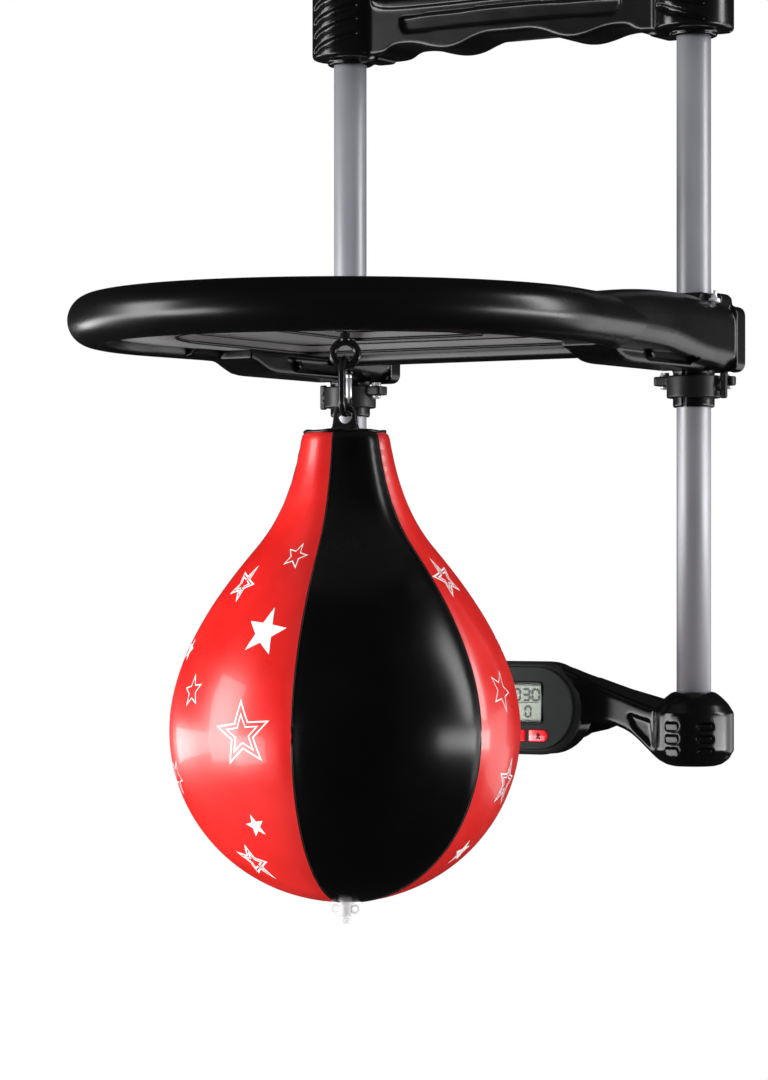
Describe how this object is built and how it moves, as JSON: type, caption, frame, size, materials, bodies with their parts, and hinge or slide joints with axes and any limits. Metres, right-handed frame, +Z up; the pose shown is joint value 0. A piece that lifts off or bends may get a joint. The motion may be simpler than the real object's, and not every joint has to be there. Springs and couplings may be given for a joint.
{
  "type": "over-door speed bag set",
  "caption": "Door-hung frame of tubes and crossbars with a height-adjustable rebound board, an inflatable bag on a snap hook and an electronic hit counter.",
  "frame": {"origin": "middle of the flat back face of the top crossbar, which lies against the door", "axes": "+X along the crossbars, +Y into the door, -Y towards the player, +Z up"},
  "size_m": [0.39, 0.514, 0.745],
  "materials": {
    "black_plastic": "glossy moulded black plastic with a fine satin break-up",
    "back_plastic": "fine-textured matte black plastic",
    "tube_paint": "silver-grey powder paint",
    "hook_steel": "black powder-painted flat steel",
    "screw_steel": "bright zinc-plated steel",
    "foam": "closed-cell black foam",
    "bezel_plastic": "satin dark grey plastic",
    "window_clear": "clear acrylic",
    "display": "grey-green reflective display with dark segments",
    "board_green": "green circuit board",
    "beeper_black": "black plastic sounder",
    "brass_disc": "thin brass disc with a ceramic coating",
    "keypad_rubber": "grey silicone rubber",
    "battery_wrap": "plain printed sleeve with a bright end",
    "contact_steel": "nickel-plated spring steel",
    "button_red": "glossy red plastic with a small dark mark",
    "black_steel": "glossy black plated steel wire",
    "gate_steel": "bright plated steel",
    "bag_pvc": "glossy inflated vinyl, red and black panels with white stars",
    "tab_plastic": "glossy black moulded vinyl",
    "valve_clear": "clear soft vinyl"
  },
  "bodies": {
    "frame": {"top_crossbar": "black_plastic", "top_back_cover": "back_plastic", "top_cover_screws": "screw_steel", "left_tube": "tube_paint", "right_tube": "tube_paint", "left_door_hook": "hook_steel", "right_door_hook": "hook_steel", "door_hook_screws": "screw_steel", "door_hook_pads": "foam", "lower_crossbar": "black_plastic", "lower_back_cover": "back_plastic", "lower_cover_screws": "screw_steel", "lower_door_pads": "foam", "counter_bezel": "bezel_plastic", "display_window": "window_clear", "display_module": "display", "circuit_board": "board_green", "beeper": "beeper_black", "impact_sensor": "brass_disc", "keypad": "keypad_rubber", "batteries": "battery_wrap", "battery_contacts": "contact_steel"},
    "board": {"board_shell": "black_plastic", "board_underside": "black_plastic", "left_bracket": "black_plastic", "right_bracket": "black_plastic", "left_clamp_band": "back_plastic", "right_clamp_band": "back_plastic", "clamp_screws": "screw_steel", "bracket_screws": "screw_steel", "eye_base": "black_steel", "eye_nut": "screw_steel", "eye_bolt": "black_steel"},
    "left_knob": {"left_clamp_knob": "back_plastic"},
    "right_knob": {"right_clamp_knob": "back_plastic"},
    "hook": {"snap_hook": "black_steel", "snap_gate_pin": "gate_steel"},
    "gate": {"snap_gate": "gate_steel"},
    "bag": {"bag_skin": "bag_pvc", "bag_tab": "tab_plastic", "valve_body": "valve_clear"},
    "stopper": {"valve_stopper": "valve_clear"},
    "outer_left_key": {"outer_left_button": "button_red"},
    "inner_left_key": {"inner_left_button": "button_red"},
    "inner_right_key": {"inner_right_button": "button_red"},
    "outer_right_key": {"outer_right_button": "button_red"},
    "battery_lid": {"battery_door": "back_plastic", "battery_door_screw": "screw_steel"}
  },
  "joints": [
    {"name": "board_slide", "type": "slide", "parent": "frame", "child": "board", "axis": [0, 0, 1], "range_m": [-0.195, 0.175]},
    {"name": "left_knob_turn", "type": "hinge", "parent": "board", "child": "left_knob", "pos_m": [-0.17, -0.032, -0.2855], "axis": [-1, 0, 0], "range_deg": [0, 270]},
    {"name": "right_knob_turn", "type": "hinge", "parent": "board", "child": "right_knob", "pos_m": [0.17, -0.032, -0.2855], "axis": [1, 0, 0], "range_deg": [0, 270]},
    {"name": "hook_swing", "type": "hinge", "parent": "board", "child": "hook", "pos_m": [0, -0.274, -0.278], "axis": [-0.848, -0.5299, 0], "range_deg": [-15, 50]},
    {"name": "gate_swing", "type": "hinge", "parent": "hook", "child": "gate", "pos_m": [-0.00281, -0.26482, -0.30285], "axis": [0.9563, 0.2924, 0], "range_deg": [0, 22], "stiffness_Nm_per_rad": 0.02, "springref_deg": -11.46},
    {"name": "bag_swing", "type": "hinge", "parent": "hook", "child": "bag", "pos_m": [0, -0.274, -0.31145], "axis": [0.2924, -0.9563, 0], "range_deg": [-35, 35]},
    {"name": "stopper_pull", "type": "slide", "parent": "bag", "child": "stopper", "axis": [0, 0, -1], "range_m": [0, 0.012]},
    {"name": "outer_left_press", "type": "slide", "parent": "frame", "child": "outer_left_key", "axis": [0, 1, 0], "range_m": [0, 0.0012], "stiffness_N_per_m": 400},
    {"name": "inner_left_press", "type": "slide", "parent": "frame", "child": "inner_left_key", "axis": [0, 1, 0], "range_m": [0, 0.0012], "stiffness_N_per_m": 400},
    {"name": "inner_right_press", "type": "slide", "parent": "frame", "child": "inner_right_key", "axis": [0, 1, 0], "range_m": [0, 0.0012], "stiffness_N_per_m": 400},
    {"name": "outer_right_press", "type": "slide", "parent": "frame", "child": "outer_right_key", "axis": [0, 1, 0], "range_m": [0, 0.0012], "stiffness_N_per_m": 400},
    {"name": "battery_lid_off", "type": "slide", "parent": "frame", "child": "battery_lid", "axis": [0, 1, 0], "range_m": [0, 0.03]}
  ]
}
